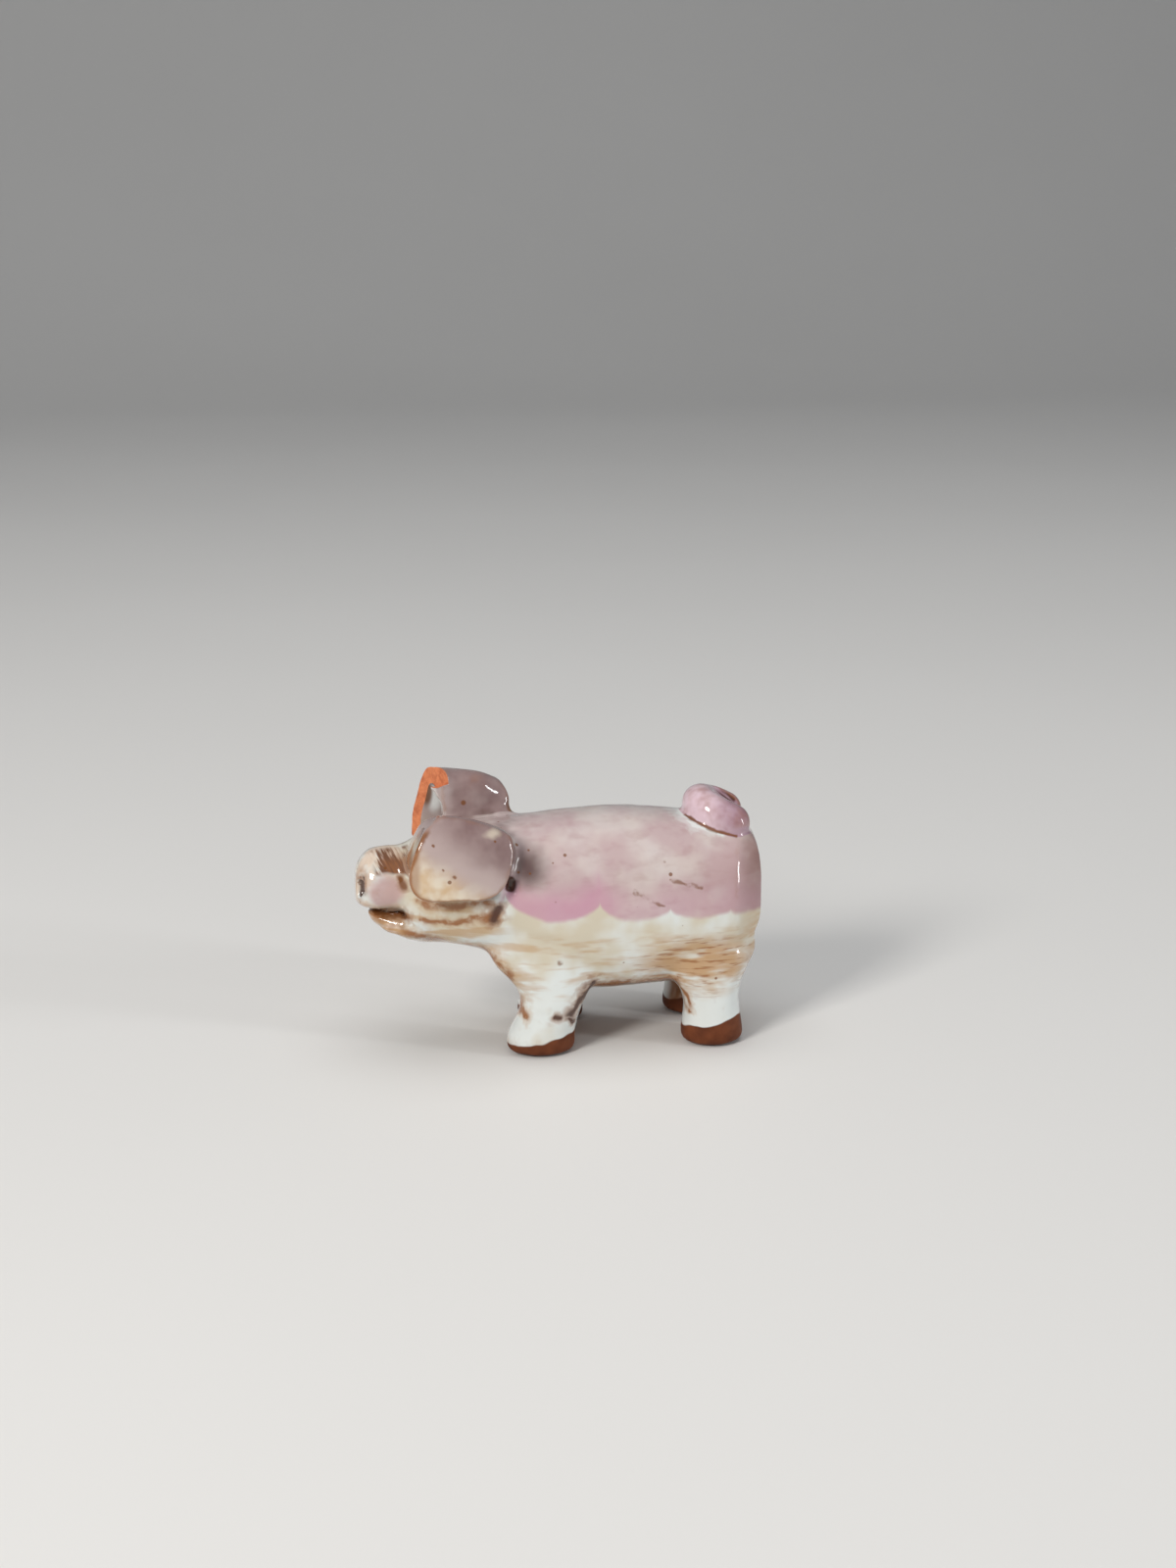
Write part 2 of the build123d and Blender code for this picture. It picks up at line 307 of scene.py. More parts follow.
# Painted shade in the pit behind the left ear
PIT_SHADE = ((-8.4, -10.4, 28.3), (0.7, 2.0, 1.1))
SNOUT_PINK = ((27.4, 5.2, 26.4), (2.6, 2.8, 2.7))
NOSTRIL_STAIN = ((31.4, 3.3, 27.4), (1.5, 1.3, 1.8))
NOSE = ((-32.0, 0.0, 27.0), (2.4, 5.0, 4.0))
JAW = ((-28.0, 0.0, 20.0), (4.5, 8.0, 2.4))
EAR_LIGHT = ((-11.4, -10.9, 36.6), (1.0, 2.0, 0.6))
EAR_INSIDE = ((-17.8, 8.6, 36.6), (2.2, 2.6, 4.0))
# Painted shade deep in the right ear's hollow
EAR_CAVITY_SHADE = ((-19.1, 10.4, 38.0), (0.8, 1.4, 2.4))
EAR_CREASE = ((-24.2, -5.2, 31.2), (1.6, 2.6, 3.0))
EAR_RIM = ((-23.7, -11.9, 31.0), (1.0, 3.0, 4.2))
EAR_EDGE = ((-17.2, 6.6, 38.4), (1.5, 2.6, 3.2))
EAR_SPOT = ((-14.0, 4.4, 37.7), (0.4, 1.0, 0.4))
EAR_STAIN = ((-6.2, 5.3, 36.5), (0.9, 1.8, 1.2))

# A stroke is seen from the side: x and z of the places it runs through, with its width from there on
MOUTH_STROKES = (
    ((-31.0, 22.3, 0.8), (-27.6, 22.5)),
    ((-27.6, 22.4, 1.2), (-24.4, 22.2)),
    ((-25.0, 28.4, 0.9), (-24.7, 27.3)),
)
DARK_STROKES = (
    ((-11.2, 23.0, 1.4), (-10.4, 24.6)),
    ((4.3, 11.7, 1.3), (2.8, 9.2, 1.1), (0.7, 6.8)),
    ((-2.1, 7.0, 0.7), (-1.0, 6.6)),
    ((0.4, 6.0, 0.8), (1.2, 5.7)),
)
TAN_STROKES = (
    # This first stroke, under the left ear's rim, is partly a painted shadow of the rim and partly the
    # cheek's brown
    ((-22.6, 25.2, 1.2), (-16.3, 24.8, 1.2), (-11.6, 25.6)),
    ((-22.2, 22.3, 1.0), (-16.3, 22.1, 1.1), (-10.8, 23.4)),
    ((-28.6, 20.6, 1.6), (-25.6, 19.9, 1.5), (-19.0, 17.8, 1.3), (-12.6, 16.6)),
    ((-12.0, 16.2, 1.7), (-9.0, 13.0, 1.6), (-7.6, 9.0, 1.1), (-6.6, 6.6)),
    ((5.5, 10.0, 1.7), (18.0, 10.8)),
    ((16.8, 11.8, 0.9), (19.2, 8.6, 0.7), (20.0, 5.6)),
)
WHITE_STROKES = (((18.8, 36.5, 0.8), (21.4, 34.9, 0.45), (25.5, 33.5)),)
TAIL_CRACK = (((20.3, 36.0, 0.5), (22.4, 35.1, 0.55), (24.6, 34.15, 0.5), (27.6, 33.45)),)
# Painted shade in the tail's slot
TAIL_SLOT_SHADE = (((26.9, 38.9, 0.7), (28.1, 38.0, 0.6), (29.2, 37.0)),)
SCRATCHES = (
    ((10.5, 26.9, 0.6), (13.5, 24.8)),
    ((13.0, 24.9, 0.45), (15.5, 24.5)),
    ((16.1, 28.2, 0.45), (18.6, 27.6, 0.5), (21.2, 26.8)),
    ((15.3, 31.0, 0.5), (15.4, 30.9)),
    ((-1.1, 15.7, 0.8), (-1.0, 15.6)),
)
EAR_STROKES = (
    ((-20.7, 35.8, 0.6), (-20.6, 35.7)),
    ((-19.3, 32.1, 0.45), (-19.2, 32.0)),
    ((-17.6, 30.9, 0.45), (-17.5, 30.8)),
    ((-21.5, 37.8, 0.9), (-23.3, 35.2)),
)


# Hand tools

def deselect():
    """Selects nothing."""
    bpy.ops.object.select_all(action="DESELECT")


def only(obj):
    """Selects one object and nothing else."""
    deselect()
    obj.select_set(True)
    bpy.context.view_layer.objects.active = obj


def into_scene(name, data):
    """A new object for a mesh, a light or a camera."""
    obj = bpy.data.objects.new(name, data)
    bpy.context.scene.collection.objects.link(obj)
    return obj


def duplicate(obj, name):
    """A copy with its own mesh."""
    return into_scene(name, obj.data.copy())


def discard(obj):
    """Removes a helper object."""
    only(obj)
    bpy.ops.object.delete()


def modify(obj, kind, **settings):
    """Adds a modifier and applies it."""
    only(obj)
    modifier = obj.modifiers.new(kind.lower(), kind)
    for name, value in settings.items():
        setattr(modifier, name, value)
    bpy.ops.object.modifier_apply(modifier=modifier.name)


def cut(obj, tool, operation):
    """A Boolean with a closed tool."""
    modify(obj, "BOOLEAN", operation=operation, object=tool, solver="MANIFOLD")


def roughen(obj, size, depth, level, octaves):
    """Raises and lowers the surface by clouds of the given size."""
    clouds = bpy.data.textures.new("clouds", "CLOUDS")
    clouds.noise_scale = size
    clouds.noise_depth = octaves
    modify(obj, "DISPLACE", texture=clouds, texture_coords="LOCAL", strength=depth, mid_level=level)
    bpy.data.textures.remove(clouds)


def merged_copy(name, nodes):
    """One object holding merged copies of CAD nodes."""
    deselect()
    for node in nodes:
        copy = duplicate(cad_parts[node], name)
        copy.data.materials.clear()
        copy.select_set(True)
        bpy.context.view_layer.objects.active = copy
    if len(nodes) > 1:
        bpy.ops.object.join()
    obj = bpy.context.view_layer.objects.active
    obj.name = name
    bpy.ops.object.mode_set(mode="EDIT")
    bpy.ops.mesh.select_all(action="SELECT")
    bpy.ops.mesh.remove_doubles(threshold=MERGE_GAP)
    bpy.ops.object.mode_set(mode="OBJECT")
    return obj


def block(name, low, high):
    """A closed block between two corners."""
    deselect()
    bpy.ops.mesh.primitive_cube_add(size=1, location=(Vector(low) + Vector(high)) / 2)
    obj = bpy.context.object
    obj.name = name
    obj.scale = Vector(high) - Vector(low)
    bpy.ops.object.transform_apply(location=True, rotation=False, scale=True)
    return obj


def node_box(node):
    """The corners of a CAD node's box."""
    low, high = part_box(node)
    return Vector(low), Vector(high)


def places(obj):
    """The mesh's points and point normals as arrays, in metres."""
    mesh = obj.data
    points = np.empty(len(mesh.vertices) * 3, np.float32)
    normals = np.empty_like(points)
    mesh.vertices.foreach_get("co", points)
    mesh.vertex_normals.foreach_get("vector", normals)
    return points.reshape(-1, 3), normals.reshape(-1, 3)


def put(obj, points):
    """Moves the mesh's points."""
    obj.data.vertices.foreach_set("co", points.astype(np.float32).ravel())
    obj.data.update()


def between(values, start, end):
    """0 at start, 1 at end, even between; start may be the larger."""
    return np.clip((values - start) / (end - start), 0, 1)


def away_from_path(points, path):
    """Distance from each point to a path of straight runs."""
    best = np.full(len(points), np.inf)
    for start, end in zip(path[:-1], path[1:]):
        run = end - start
        along = np.clip((points - start) @ run / (run @ run), 0, 1)
        best = np.minimum(best, np.linalg.norm(points - start - along[:, None] * run, axis=1))
    return best


def tool_mark(obj, path, width, depth):
    """Presses a rounded groove of the given width and depth along a path in millimetres."""
    points, normals = places(obj)
    away = away_from_path(points, np.array(path) * MM)
    press = np.exp(-(2 * away / (width * MM)) ** 2)
    near = np.flatnonzero(press > PRESS_LEAST)
    facing = KDTree(len(near))
    for index in near:
        facing.insert(points[index], index)
    facing.balance()
    for index in near:
        around = [other for _, other, _ in facing.find_range(points[index], width * MM)]
        inward = -normals[around].mean(axis=0)
        points[index] += depth * MM * press[index] * inward / np.linalg.norm(inward)
    put(obj, points)


def pull(obj, centre, reach, shift):
    """Draws out the clay around a place in millimetres."""
    points = places(obj)[0]
    away = np.linalg.norm(points - np.array(centre) * MM, axis=1) / (reach * MM)
    share = np.clip(1 - away ** 2, 0, 1) ** 2
    put(obj, points + share[:, None] * np.array(shift) * MM)


def neighbour_mean(points, pairs, counts):
    """Each point's mean neighbour along the mesh's edges."""
    mean = np.empty_like(points)
    first, second = pairs.T
    for axis in range(3):
        total = np.bincount(first, points[second, axis], len(points))
        total += np.bincount(second, points[first, axis], len(points))
        mean[:, axis] = total / counts
    return mean


def rub(obj, times, weight=1.0, swell=0.0):
    """Rubs the surface smooth; swell lets it rise again after each stroke, to keep thin edges."""
    points = places(obj)[0].astype(float)
    pairs = np.empty(len(obj.data.edges) * 2, np.int32)
    obj.data.edges.foreach_get("vertices", pairs)
    pairs = pairs.reshape(-1, 2)
    counts = np.bincount(pairs.ravel(), minlength=len(points))
    weight = np.broadcast_to(weight, len(points))[:, None]
    for _ in range(times):
        points += RUB_STEP * weight * (neighbour_mean(points, pairs, counts) - points)
        if swell:
            points -= swell * weight * (neighbour_mean(points, pairs, counts) - points)
    put(obj, points)


# Stage

def make_camera():
    """The photograph's viewing angle."""
    data = bpy.data.cameras.new("camera")
    data.lens = CAMERA_LENS
    data.sensor_width = CAMERA_SENSOR
    data.clip_start = CAMERA_CLIP
    camera = into_scene("camera", data)
    back = Vector((math.sin(VIEW_AZIMUTH) * math.cos(VIEW_ELEVATION),
                   -math.cos(VIEW_AZIMUTH) * math.cos(VIEW_ELEVATION), math.sin(VIEW_ELEVATION)))
    camera.location = VIEW_POINT + back * VIEW_DISTANCE
    camera.rotation_euler = Euler((math.pi / 2 - CAMERA_DOWN, 0, -CAMERA_TURN), "XYZ")
    bpy.context.scene.camera = camera


def soft_light(name, place, size, power, tint, glints):
    """A softbox that looks at the figure's middle. Without glints it doesn't mirror in the glaze."""
    data = bpy.data.lights.new(name, "AREA")
    data.shape = "RECTANGLE"
    data.size, data.size_y = size
    data.energy = power
    data.color = tint
    light = into_scene(name, data)
    light.location = place
    light.visible_glossy = glints
    light.rotation_euler = (Vector(place) - VIEW_POINT).to_track_quat("Z", "Y").to_euler()


def light_room():
    """Two windows, a soft light from above and the pale light of the room."""
    for name, light in LIGHTS.items():
        soft_light(name, *light)
    world = bpy.data.worlds.new("studio")
    world.use_nodes = True
    room = world.node_tree.nodes["Background"].inputs
    room["Color"].default_value = ROOM_TINT
    room["Strength"].default_value = ROOM_STRENGTH
    bpy.context.scene.world = world
    bpy.context.scene.view_settings.view_transform = "Standard"


def pick_edges(obj, wanted):
    """In edit mode, selects the edges whose two ends are wanted."""
    bpy.ops.mesh.select_all(action="DESELECT")
    sheet = bmesh.from_edit_mesh(obj.data)
    for edge in sheet.edges:
        edge.select = all(wanted(vertex.co) for vertex in edge.verts)
    bmesh.update_edit_mesh(obj.data)


def make_floor():
    """Pale sweep: a floor that curves up behind the figure."""
    deselect()
    bpy.ops.mesh.primitive_plane_add(size=FLOOR_SIZE, location=(0, FLOOR_SHIFT, 0))
    floor = bpy.context.object
    floor.name = "floor"
    bpy.ops.object.transform_apply(location=True, rotation=False, scale=False)
    bpy.ops.object.mode_set(mode="EDIT")
    bpy.ops.mesh.select_mode(type="EDGE")
    pick_edges(floor, lambda place: place.y > FLOOR_BACK)
    bpy.ops.mesh.extrude_region_move(TRANSFORM_OT_translate={"value": (0, 0, SWEEP_HEIGHT)})
    pick_edges(floor, lambda place: place.y > FLOOR_BACK and abs(place.z) < FLOOR_FLAT)
    bpy.ops.mesh.bevel(offset=SWEEP_ROUND, segments=SWEEP_STEPS)
    bpy.ops.object.mode_set(mode="OBJECT")
    bpy.ops.object.shade_smooth()
    floor.data.materials.append(floor_material())
    floor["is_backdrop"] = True


# Clay

def reach_of(clay, node):
    """Distance from each point of the clay to a CAD node's surface, up to a limit."""
    tool = merged_copy("tool", [node])
    mesh = tool.data
    surface = BVHTree.FromPolygons([v.co for v in mesh.vertices], [p.vertices for p in mesh.polygons])
    discard(tool)
    reach = []
    for vertex in clay.data.vertices:
        away = surface.find_nearest(vertex.co, REACH_LIMIT)[3]
        reach.append(REACH_LIMIT if away is None else away)
    return np.array(reach)


def rub_joints(clay):
    """Smooths the clay where one piece was luted to another."""
    reach = {node: reach_of(clay, node) for node in NODES if node != "tail"}
    for (first, second), (limit, times) in JOINTS.items():
        away = np.maximum(reach[first], reach[second])
        rub(clay, times, np.clip(JOINT_PRESS * (1 - away / (limit * MM)), 0, 1))


def shape_mouth(clay):
    """Fills out the upper lip, brings the jaw up and forward against it and lets the chin recede."""
    points = places(clay)[0]
    x, _, z = points.T / MM
    front = between(x, *LIP_FRONT)
    lip = front * np.exp(-((z - LIP_LEVEL) / LIP_SPREAD) ** 2) * (z > MOUTH_LEVEL)
    jaw = between(x, *JAW_GROWS) * (z < MOUTH_LEVEL)
    share = between(z, *JAW_HEIGHT)
    forward = jaw * front * (JAW_FORWARD * share - CHIN_BACK * (1 - share)) + LIP_FORWARD * lip
    points[:, 0] -= MM * forward
    lift = (CHIN_LIFT + (1 - CHIN_LIFT) * share) * (1 + JAW_FRONT_LIFT * front)
    points[:, 2] += MM * JAW_LIFT * jaw * lift
    points[:, 1] *= 1 - JAW_NARROWED * jaw * between(x, *JAW_TAPERS)
    put(clay, points)
    rub(clay, CHIN_RUBBED, jaw)
    for side in (-1, 1):
        corner = np.array(MOUTH_CORNER) * (1, side, 1) * MM
        away = np.linalg.norm(points - corner, axis=1) / (MOUTH_CORNER_REACH * MM)
        rub(clay, MOUTH_CORNER_RUBBED, np.clip(MOUTH_CORNER_PRESS * (1 - away), 0, 1))


def bevel_rump(clay):
    """Presses the rump's corners in behind an upright ridge on each flank."""
    points = places(clay)[0]
    x, y, z = points.T / MM
    levels = np.arange(*RUMP_LEVELS)
    ring = np.abs(x - RUMP_RIDGE) < RUMP_RING
    halves = [np.abs(y[ring & (np.abs(z - level) < RUMP_SLICE)]).max() for level in levels]
    over = np.abs(y) - np.interp(z, levels, halves) + RUMP_BEVEL * (x - RUMP_RIDGE)
    over = 0.5 * (over + np.sqrt(over ** 2 + RUMP_SOFT))
    share = between(z, *RUMP_FOOT) * between(z, *RUMP_TOP) * between(x, *RUMP_FRONT)
    points[:, 1] -= np.sign(y) * RUMP_PRESS * MM * share * np.minimum(over, np.abs(y))
    put(clay, points)


def fold_ear(clay):
    """Presses the left ear's crest lower and pinches it to a soft fold."""
    points = places(clay)[0]
    x, y, z = points.T / MM
    share = between(y, *EAR_ACROSS) * between(x, *EAR_AHEAD)
    points[:, 2] -= MM * EAR_LOWERED * share * np.clip(z - EAR_ROOT, 0, None)
    put(clay, points)
    tool_mark(clay, *LEFT_CREST)


def press_nostrils(clay):
    """Presses the two nostrils deeper."""
    x, across, z = NOSTRIL
    for y in (-across, across):
        path = ((x, y, z + NOSTRIL_HEIGHT / 2), (x, y, z - NOSTRIL_HEIGHT / 2))
        tool_mark(clay, path, NOSTRIL_WIDTH, NOSTRIL_DEPTH)


def fracture():
    """A place on the right ear's broken face in the CAD, and its normal."""
    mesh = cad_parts["right_ear"].data
    most_x, most_y = BREAK_FACING
    faces = [face for face in mesh.polygons if face.normal.x < most_x and face.normal.y < most_y]
    flat = max(faces, key=lambda face: face.area)
    return mesh.vertices[flat.vertices[0]].co.copy(), flat.normal.copy()


def draw_out_ear():
    """The right ear drawn out past its broken face, to be broken afresh when the clay is smooth."""
    ear = merged_copy("ear", ["right_ear"])
    place, normal = (np.array(value) for value in fracture())
    points = places(ear)[0]
    broken = np.abs((points - place) @ normal) < BREAK_FLAT
    points[broken] += np.array(BREAK_FORWARD) * BREAK_SPARE
    put(ear, points)
    return ear


def make_clay():
    """All pieces luted into one surface, rubbed smooth, shaped and marked with tools."""
    ear = draw_out_ear()
    clay = merged_copy("clay", [node for node in NODES if node != "right_ear"])
    ear.select_set(True)
    bpy.ops.object.join()
    modify(clay, "REMESH", mode="VOXEL", voxel_size=GRAIN)
    rub(clay, RUBBED)
    rub_joints(clay)
    shape_mouth(clay)
    bevel_rump(clay)
    fold_ear(clay)
    for place in PULLS.values():
        pull(clay, *place)
    for size, depth in LUMPS:
        roughen(clay, size, depth, LUMP_LEVEL, octaves=2)
    press_nostrils(clay)
    for mark in TOOL_MARKS.values():
        tool_mark(clay, *mark)
    rub(clay, LAST_RUBBED, swell=LAST_SWELL)
    return clay


def relief_of(clay):
    """How far each point stands out of its smoothed surroundings, in millimetres."""
    points, normals = places(clay)
    smooth = duplicate(clay, "smooth")
    rub(smooth, RELIEF_RUBBED)
    levelled = places(smooth)[0]
    discard(smooth)
    return ((points - levelled) * normals).sum(axis=1) / MM


def point_finder(clay):
    """A tree that finds the clay's nearest point."""
    tree = KDTree(len(clay.data.vertices))
    for vertex in clay.data.vertices:
        tree.insert(vertex.co, vertex.index)
    tree.balance()
    return tree


def keep_relief(piece, tree, relief):
    """Stores the relief as the piece's own attribute."""
    values = [relief[tree.find(vertex.co)[1]] for vertex in piece.data.vertices]
    piece.data.attributes.new("relief", "FLOAT", "POINT").data.foreach_set("value", values)


def territory(node):
    """The space a piece takes out of the clay: its CAD form, grown over its joint.

    An ear also takes what lies above the level of its crest.
    """
    tool = draw_out_ear() if node == "right_ear" else merged_copy("territory", [node])
    modify(tool, "DISPLACE", strength=SEAM_GROWTH, mid_level=0)
    if node in CREST_LEVEL:
        low, high = node_box(node)
        low -= CREST_ROOM
        crest = block("crest", (low.x, low.y, CREST_LEVEL[node]), high + CREST_ROOM)
        cut(tool, crest, "UNION")
        discard(crest)
    return tool


def second_slot(tool, material=None):
    """Gives a cutting tool's faces the second material slot, so that the faces it cuts are known."""
    tool.data.materials.clear()
    for _ in range(2):
        tool.data.materials.append(material)
    tool.data.polygons.foreach_set("material_index", np.ones(len(tool.data.polygons), np.int32))


def mark_seams(piece):
    """Keeps the shading of the outer skin apart from the cut faces of the joints."""
    mesh = piece.data
    corners = [face.loop_total for face in mesh.polygons]
    owner = np.repeat([face.material_index for face in mesh.polygons], corners)
    edge = np.empty(len(mesh.loops), np.int32)
    mesh.loops.foreach_get("edge_index", edge)
    skin = np.bincount(edge, owner == 0, len(mesh.edges)) > 0
    inner = np.bincount(edge, owner == 1, len(mesh.edges)) > 0
    mesh.edges.foreach_set("use_edge_sharp", skin & inner)
    mesh.polygons.foreach_set("material_index", np.zeros(len(mesh.polygons), np.int32))


def drop_crumbs(piece):
    """Throws away the crumbs of clay that a cut left loose, and gives what is kept."""
    name = piece.name
    only(piece)
    bpy.ops.object.mode_set(mode="EDIT")
    bpy.ops.mesh.select_all(action="SELECT")
    bpy.ops.mesh.separate(type="LOOSE")
    bpy.ops.object.mode_set(mode="OBJECT")
    lumps = list(bpy.context.selected_objects)
    kept = max(lumps, key=lambda lump: len(lump.data.vertices))
    for lump in lumps:
        if lump != kept:
            discard(lump)
    kept.name = name
    return kept


def part_clay(clay):
    """Cuts the clay along its joints: one closed piece for each node."""
    low, high = (Vector(corner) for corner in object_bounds())
    low -= CUT_ROOM
    high += CUT_ROOM
    face_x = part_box("snout")[1][0] - SNOUT_SEAM
    neck_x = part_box("torso")[0][0]
    tools = {node: territory(node) for node in ("left_ear", "right_ear", "tail") + LEGS}
    tools["snout"] = block("territory", (low.x, low.y, MOUTH_SEAM), (face_x, high.y, high.z))
    tools["head"] = block("territory", low, (neck_x, high.y, high.z))
    for _ in range(2):
        clay.data.materials.append(None)
    pieces = {}
    for node, tool in tools.items():
        second_slot(tool)
        pieces[node] = duplicate(clay, node + "_clay")
        cut(pieces[node], tool, "INTERSECT")
        cut(clay, tool, "DIFFERENCE")
        discard(tool)
    clay.name = "torso_clay"
    pieces["torso"] = clay
    for node in NODES:
        pieces[node] = drop_crumbs(pieces[node])
        mark_seams(pieces[node])
    return pieces


def stand(obj, place, normal):
    """Puts a tool at a place, its axis along a normal."""
    obj.rotation_euler = normal.to_track_quat("Z", "Y").to_euler()
    obj.location = place
    only(obj)
    bpy.ops.object.transform_apply(location=True, rotation=True, scale=True)


def break_ear(ear, clay_material):
    """Cuts the chipped crest and flap of the right ear afresh, with the uneven face of broken clay."""
    place, normal = fracture()
    deselect()
    bpy.ops.mesh.primitive_grid_add(x_subdivisions=BREAK_TOOL_STEPS, y_subdivisions=BREAK_TOOL_STEPS,
                                    size=BREAK_TOOL_SIDE)
    tool = bpy.context.object
    roughen(tool, BREAK_GRAIN, BREAK_GRIT, 0.5, octaves=3)
    modify(tool, "SOLIDIFY", thickness=BREAK_TOOL_DEPTH, offset=1.0)
    stand(tool, place, normal)
    points = places(tool)[0]
    points[:, 0] -= BREAK_TURN * np.clip(points[:, 1] - BREAK_BEND, 0, None)
    put(tool, points)
    low, high = node_box("right_ear")
    wall = block("wall", low - FOLD_ROOM, (high.x, FOLD_OUT, high.z + FOLD_ABOVE))
    deselect()
    bpy.ops.mesh.primitive_cylinder_add(vertices=BREAK_OVAL_STEPS, radius=1, depth=1)
    oval = bpy.context.object
    oval.scale = BREAK_OVAL_SCALE
    stand(oval, BREAK_OVAL, normal)
    cut(wall, oval, "DIFFERENCE")
    discard(oval)
    cut(tool, wall, "DIFFERENCE")
    discard(wall)
    second_slot(tool, clay_material)
    ear.data.materials.append(clay_material)
    cut(ear, tool, "DIFFERENCE")
    discard(tool)


# Finishes

class Paint:
    """Adds nodes to a tree. Numbers, tuples and other nodes' outputs feed their inputs."""

    def __init__(self, tree):
        self.tree = tree

    def link(self, value, socket):
        self.tree.links.new(value, socket)

    def node(self, kind, inputs, **settings):
        node = self.tree.nodes.new("ShaderNode" + kind)
        for name, value in settings.items():
            setattr(node, name, value)
        for key, value in inputs.items():
            socket = node.inputs[key]
            if isinstance(value, bpy.types.NodeSocket):
                self.link(value, socket)
            elif socket.type == "RGBA":
                socket.default_value = (*value, 1)
            else:
                socket.default_value = value
        return node

    def effect(self, group, **inputs):
        """Places a shared effect and gives its outputs."""
        return self.node("Group", inputs, node_tree=group).outputs

    def math(self, operation, *values, clamp=False):
        inputs = dict(enumerate(values))
        return self.node("Math", inputs, operation=operation, use_clamp=clamp).outputs[0]

    def all_by(self, operation, values):
        total = values[0]
        for value in values[1:]:
            total = self.math(operation, total, value)
        return total

    def add(self, *values):
        return self.all_by("ADD", values)

    def times(self, *values):
        return self.all_by("MULTIPLY", values)

    def most(self, *masks):
        """Masks laid together."""
        return self.all_by("MAXIMUM", masks)

    def less(self, value, other):
        return self.math("SUBTRACT", value, other)

    def level(self, mask, low, gain):
        """Low where the mask is 0, low plus gain where it is 1."""
        return self.add(low, self.times(mask, gain))

    def vector(self, operation, *values):
        return self.node("VectorMath", dict(enumerate(values)), operation=operation).outputs[0]

    def measure(self, operation, *values):
        """A length, a distance or a dot product."""
        return self.node("VectorMath", dict(enumerate(values)), operation=operation).outputs[1]

    def scaled(self, vector, factor):
        return self.node("VectorMath", {0: vector, "Scale": factor}, operation="SCALE").outputs[0]

    def split(self, vector):
        """A vector's x, y and z."""
        return self.node("SeparateXYZ", {0: vector}).outputs

    def ramp(self, value, start, end):
        """0 at start, 1 at end, eased between; start may be the larger."""
        inputs = {"Value": value, "From Min": start, "From Max": end}
        return self.node("MapRange", inputs, interpolation_type="SMOOTHSTEP").outputs[0]

    def lay(self, under, over, *masks):
        """Lays one colour over another, as strongly as the product of the masks."""
        return self.node("Mix", {0: self.times(*masks), 6: under, 7: over}, data_type="RGBA").outputs[2]

    def noise(self, point, size, detail=2.0, roughness=0.5):
        """Cloudy values from 0 to 1, with clouds about the given size in millimetres."""
        inputs = {"Vector": point, "Scale": 1 / size, "Detail": detail, "Roughness": roughness}
        return self.node("TexNoise", inputs).outputs[0]

    def streaks(self, point, sizes, start, end):
        """Clouds of a different size along each axis, cut between two of their levels."""
        return self.ramp(self.noise(self.vector("DIVIDE", point, sizes), 1.0), start, end)

    def spot(self, point, place, edge=0.3):
        """1 inside an ellipsoid given by its centre and half widths, fading to 0 outside it."""
        centre, radii = place
        offset = self.vector("SUBTRACT", point, centre)
        reach = self.measure("LENGTH", self.vector("DIVIDE", offset, radii))
        return self.ramp(reach, 1 + edge, 1 - edge)


def new_group(name, inputs, outputs):
    """A shared effect with named sockets. Gives its painter, what it is given and its result."""
    tree = bpy.data.node_groups.new(name, "ShaderNodeTree")
    for socket, kind in inputs.items():
        tree.interface.new_socket(socket, in_out="INPUT", socket_type="NodeSocket" + kind)
    for socket, kind in outputs.items():
        tree.interface.new_socket(socket, in_out="OUTPUT", socket_type="NodeSocket" + kind)
    given = tree.nodes.new("NodeGroupInput").outputs
    result = tree.nodes.new("NodeGroupOutput").inputs
    return Paint(tree), given, result


def brush_wander_group():
    """Millimetre coordinates, plain and wandering as a loaded brush wanders."""
    paint, given, result = new_group("brush_wander", {"Point": "Vector"},
                                     {"Point": "Vector", "Wander": "Vector"})
    point = paint.scaled(given["Point"], 1 / MM)
    clouds = paint.node("TexNoise", {"Vector": point, "Scale": 1 / WANDER_SIZE, "Detail": 2.0})
    shift = paint.vector("SUBTRACT", clouds.outputs["Color"], (0.5, 0.5, 0.5))
    paint.link(point, result["Point"])
    paint.link(paint.vector("ADD", point, paint.scaled(shift, WANDER_REACH)), result["Wander"])
    return paint.tree


def brush_stroke_group():
    """One stroke of a brush, seen from the side: a dense core between two places and a thin halo."""
    paint, given, result = new_group(
        "brush_stroke", {"Point": "Vector", "Start": "Vector", "End": "Vector", "Width": "Float"},
        {"Core": "Float", "Halo": "Float"})
    seen = paint.vector("MULTIPLY", given["Point"], (1, 0, 1))
    run = paint.vector("SUBTRACT", given["End"], given["Start"])
    offset = paint.vector("SUBTRACT", seen, given["Start"])
    length = paint.measure("DOT_PRODUCT", run, run)
    along = paint.math("DIVIDE", paint.measure("DOT_PRODUCT", offset, run), length, clamp=True)
    away = paint.measure("DISTANCE", offset, paint.scaled(run, along))
    load = paint.level(paint.ramp(paint.noise(given["Point"], 1.7), 0.3, 0.7), 0.55, 0.8)
    away = paint.math("DIVIDE", away, paint.times(given["Width"], load))
    paint.link(paint.ramp(away, 0.75, 0.15), result["Core"])
    paint.link(paint.ramp(away, 1.5, 0.5), result["Halo"])
    return paint.tree


